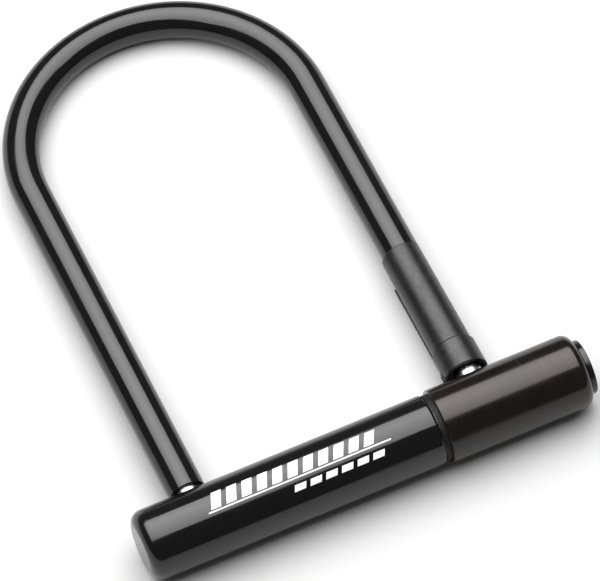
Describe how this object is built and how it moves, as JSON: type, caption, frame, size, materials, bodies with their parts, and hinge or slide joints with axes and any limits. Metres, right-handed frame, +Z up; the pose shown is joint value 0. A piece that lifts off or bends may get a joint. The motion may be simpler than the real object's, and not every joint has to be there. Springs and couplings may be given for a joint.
{
  "type": "bicycle u lock",
  "caption": "Vinyl-coated steel shackle with two straight feet, held in a tubular crossbar by a key-driven double bolt.",
  "frame": {"origin": "under the middle of the outline, on the surface that the lock lies flat on", "axes": "+X along the crossbar towards the key end, +Y from the crossbar to the bend of the shackle, +Z up, square to the plane of the U"},
  "size_m": [0.1828, 0.247, 0.0291],
  "materials": {
    "vinyl": "gloss",
    "sleeve_paint": "satin",
    "hard_plastic": "matte grain",
    "cap_plastic": "gloss",
    "seal_rubber": "matte",
    "hardened_steel": "bright zinc plate",
    "tube_steel": "drawn",
    "spring_steel": "polished",
    "brass": "turned",
    "nylon": "moulded"
  },
  "bodies": {
    "crossbar": {"crossbar_tube": "tube_steel", "end_plug": "tube_steel", "crossbar_coating": "vinyl", "sleeve_seal": "seal_rubber", "lock_sleeve": "sleeve_paint", "left_foot_bush": "nylon", "right_foot_bush": "nylon", "foot_pads": "nylon", "left_bolt_guide": "nylon", "right_bolt_guide": "nylon", "strip_guides": "nylon", "cylinder_housing": "brass", "housing_pins": "hardened_steel", "detent_ball": "spring_steel", "detent_spring": "spring_steel", "end_cap": "cap_plastic", "cover_pin": "tube_steel"},
    "shackle": {"shackle_bar": "hardened_steel", "shackle_coating": "vinyl", "carrier_sleeve": "hard_plastic"},
    "collar": {"carrier_collar": "hard_plastic"},
    "cylinder": {"rotor": "brass", "rotor_clip": "spring_steel", "cam_barrel": "hardened_steel", "cam_screw": "spring_steel", "detainer_discs": "spring_steel", "disc_washers": "brass", "keyway_plate": "hardened_steel", "sidebar": "spring_steel"},
    "bolt_bar": {"locking_strip": "tube_steel", "left_bolt": "hardened_steel", "right_bolt": "hardened_steel", "bolt_rivets": "tube_steel", "cam_follower": "hardened_steel"},
    "cover": {"dust_cover": "cap_plastic"}
  },
  "joints": [
    {"name": "shackle_pull", "type": "slide", "parent": "crossbar", "child": "shackle", "axis": [0, 1, 0], "range_m": [0, 0.06]},
    {"name": "key_turn", "type": "hinge", "parent": "crossbar", "child": "cylinder", "pos_m": [0.07705, -0.10895, 0.01455], "axis": [1, 0, 0], "range_deg": [0, 90]},
    {"name": "bolt_slide", "type": "slide", "parent": "crossbar", "child": "bolt_bar", "axis": [1, 0, 0], "range_m": [0, 0.0042]},
    {"name": "cover_swing", "type": "hinge", "parent": "crossbar", "child": "cover", "pos_m": [0.09085, -0.10895, 0.02245], "axis": [1, 0, 0], "range_deg": [0, 150]},
    {"name": "collar_turn", "type": "hinge", "parent": "shackle", "child": "collar", "pos_m": [0.0497, -0.08595, 0.01455], "axis": [0, 1, 0], "range_deg": [0, 120]}
  ],
  "couplings": [
    {"joint": "key_turn", "follows": "bolt_slide", "rad_per_m": 374}
  ]
}
